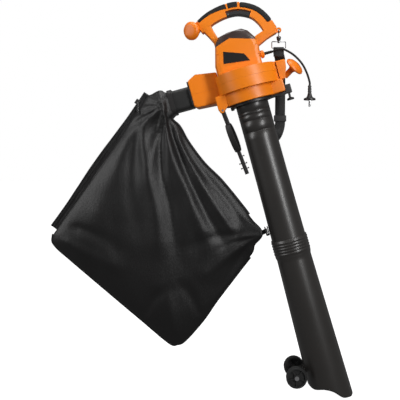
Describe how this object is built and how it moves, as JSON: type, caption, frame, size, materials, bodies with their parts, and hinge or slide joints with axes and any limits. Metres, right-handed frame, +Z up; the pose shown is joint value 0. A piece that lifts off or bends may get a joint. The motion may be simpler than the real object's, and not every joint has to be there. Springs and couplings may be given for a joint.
{
  "type": "electric leaf blower vacuum",
  "caption": "Hand-held electric leaf blower and vacuum with arched trigger handle, shredding fan, two-part suction tube on wheels, collecting bag, mains lead and strap.",
  "frame": {"origin": "middle of the hand grip, on the tool's middle plane", "axes": "+Z up as the tool hangs from the hand, +X towards the strap and lead, away from the bag, +Y across the tool, away from the badge"},
  "size_m": [0.9314, 0.2, 1.1865],
  "materials": {
    "armature": "laminated",
    "badge_plate": "moulded, fine texture",
    "bag_adapter": "moulded, fine texture",
    "bag_hook": "moulded, fine texture",
    "bearing_lower": "plain",
    "bearing_upper": "plain",
    "brush_bracket": "moulded, fine texture",
    "brush_far": "carbon",
    "brush_near": "carbon",
    "collecting_bag": "woven",
    "commutator": "copper",
    "cooling_fan": "extruded or moulded, satin",
    "cord_gland": "moulded, satin",
    "field_coil_lower": "copper",
    "field_coil_upper": "copper",
    "front_knob": "moulded, satin",
    "grip_front": "soft, matte",
    "grip_middle": "soft, matte",
    "grip_rear": "soft, matte",
    "housing_far": "moulded, satin",
    "housing_near": "moulded, satin",
    "housing_screw_front": "plain",
    "housing_screw_rear": "plain",
    "impeller": "extruded or moulded, satin",
    "impeller_nut": "plain",
    "lock_nut": "plain",
    "lock_screw": "moulded, fine texture",
    "lower_tube": "extruded or moulded, satin",
    "mains_cord": "soft, matte",
    "motor_cover": "moulded, fine texture",
    "motor_plate": "cast",
    "neck_band": "moulded, fine texture",
    "plug_body": "moulded, fine texture",
    "plug_pin_far": "plain",
    "plug_pin_near": "plain",
    "rotor_shaft": "plain",
    "shoulder_strap": "woven",
    "shredder_blade": "plain",
    "snap_gate": "plain",
    "snap_hook": "blackened",
    "speed_control": "circuit board block",
    "speed_dial": "moulded, satin",
    "stator_core": "laminated",
    "strain_relief": "soft, matte",
    "strap_buckle": "moulded, fine texture",
    "strap_ring": "plain",
    "switch_module": "moulded, fine texture",
    "switch_plunger": "moulded",
    "tether": "moulded, fine texture",
    "tether_pin": "plain",
    "trigger": "moulded, fine texture",
    "trigger_pin": "plain",
    "tube_mount": "moulded, fine texture",
    "upper_tube": "extruded or moulded, satin",
    "volute_lower": "moulded, satin",
    "volute_upper": "moulded, satin",
    "wheel_axle": "plain",
    "wheel_far": "moulded, fine texture",
    "wheel_near": "moulded, fine texture",
    "zip_slider": "plain"
  },
  "bodies": {
    "base": {"badge_plate": "badge_plate", "bag_adapter": "bag_adapter", "bag_hook": "bag_hook", "bearing_lower": "bearing_lower", "bearing_upper": "bearing_upper", "brush_bracket": "brush_bracket", "brush_far": "brush_far", "brush_near": "brush_near", "collecting_bag": "collecting_bag", "cord_gland": "cord_gland", "field_coil_lower": "field_coil_lower", "field_coil_upper": "field_coil_upper", "front_knob": "front_knob", "grip_front": "grip_front", "grip_middle": "grip_middle", "grip_rear": "grip_rear", "housing_far": "housing_far", "housing_near": "housing_near", "housing_screw_front": "housing_screw_front", "housing_screw_rear": "housing_screw_rear", "lock_nut": "lock_nut", "lower_tube": "lower_tube", "mains_cord": "mains_cord", "motor_cover": "motor_cover", "motor_plate": "motor_plate", "neck_band": "neck_band", "plug_body": "plug_body", "plug_pin_far": "plug_pin_far", "plug_pin_near": "plug_pin_near", "shoulder_strap": "shoulder_strap", "speed_control": "speed_control", "stator_core": "stator_core", "strain_relief": "strain_relief", "strap_buckle": "strap_buckle", "strap_ring": "strap_ring", "switch_module": "switch_module", "tether_pin": "tether_pin", "trigger_pin": "trigger_pin", "tube_mount": "tube_mount", "upper_tube": "upper_tube", "volute_lower": "volute_lower", "volute_upper": "volute_upper", "wheel_axle": "wheel_axle"},
    "trigger_body": {"trigger": "trigger"},
    "plunger_body": {"switch_plunger": "switch_plunger"},
    "dial_body": {"speed_dial": "speed_dial"},
    "rotor": {"rotor_shaft": "rotor_shaft", "armature": "armature", "commutator": "commutator", "cooling_fan": "cooling_fan", "impeller": "impeller", "shredder_blade": "shredder_blade", "impeller_nut": "impeller_nut"},
    "lock_body": {"lock_screw": "lock_screw"},
    "wheel_near_body": {"wheel_near": "wheel_near"},
    "wheel_far_body": {"wheel_far": "wheel_far"},
    "tether_body": {"tether": "tether"},
    "hook_body": {"snap_hook": "snap_hook"},
    "gate_body": {"snap_gate": "snap_gate"},
    "slider_body": {"zip_slider": "zip_slider"}
  },
  "joints": [
    {"name": "trigger_press", "type": "hinge", "parent": "base", "child": "trigger_body", "pos_m": [-0.03599, 0, -0.01844], "axis": [0, -1, 0], "range_deg": [0, 4], "stiffness_Nm_per_rad": 0.6, "springref_deg": -20.05},
    {"name": "plunger_press", "type": "slide", "parent": "base", "child": "plunger_body", "axis": [0.0073, 0, 1], "range_m": [0, 0.0025]},
    {"name": "speed_dial_turn", "type": "hinge", "parent": "base", "child": "dial_body", "pos_m": [-0.14737, -0.012, -0.06811], "axis": [-0.553, -0.8192, -0.1523], "range_deg": [0, 270]},
    {"name": "rotor_spin", "type": "hinge", "parent": "base", "child": "rotor", "pos_m": [0.016, 0, -0.215], "axis": [-0.2656, 0, 0.9641], "continuous": true},
    {"name": "lock_screw_turn", "type": "hinge", "parent": "base", "child": "lock_body", "pos_m": [0.1457, 0, -0.24151], "axis": [-0.2656, 0, 0.9641], "continuous": true},
    {"name": "wheel_near_spin", "type": "hinge", "parent": "base", "child": "wheel_near_body", "pos_m": [0.16818, 0, -1.10452], "axis": [0, 1, 0], "continuous": true},
    {"name": "wheel_far_spin", "type": "hinge", "parent": "base", "child": "wheel_far_body", "pos_m": [0.16818, 0, -1.10452], "axis": [0, 1, 0], "continuous": true},
    {"name": "tether_swing", "type": "hinge", "parent": "base", "child": "tether_body", "pos_m": [-0.05208, -0.024, -0.31051], "axis": [0, 1, 0], "range_deg": [-2, 40]},
    {"name": "hook_swivel", "type": "hinge", "parent": "base", "child": "hook_body", "pos_m": [0.11793, 0, -0.06349], "axis": [0, 0, 1], "range_deg": [-12, 12]},
    {"name": "gate_open", "type": "hinge", "parent": "hook_body", "child": "gate_body", "pos_m": [0.11793, -0.0055, -0.08649], "axis": [-1, 0, 0], "range_deg": [0, 24], "stiffness_Nm_per_rad": 0.005, "springref_deg": -22.92},
    {"name": "zip_slide", "type": "slide", "parent": "base", "child": "slider_body", "axis": [-0.5754, 0, -0.8178], "range_m": [0, 0.44]}
  ],
  "couplings": [
    {"joint": "plunger_press", "follows": "trigger_press", "m_per_rad": 0.02863}
  ]
}
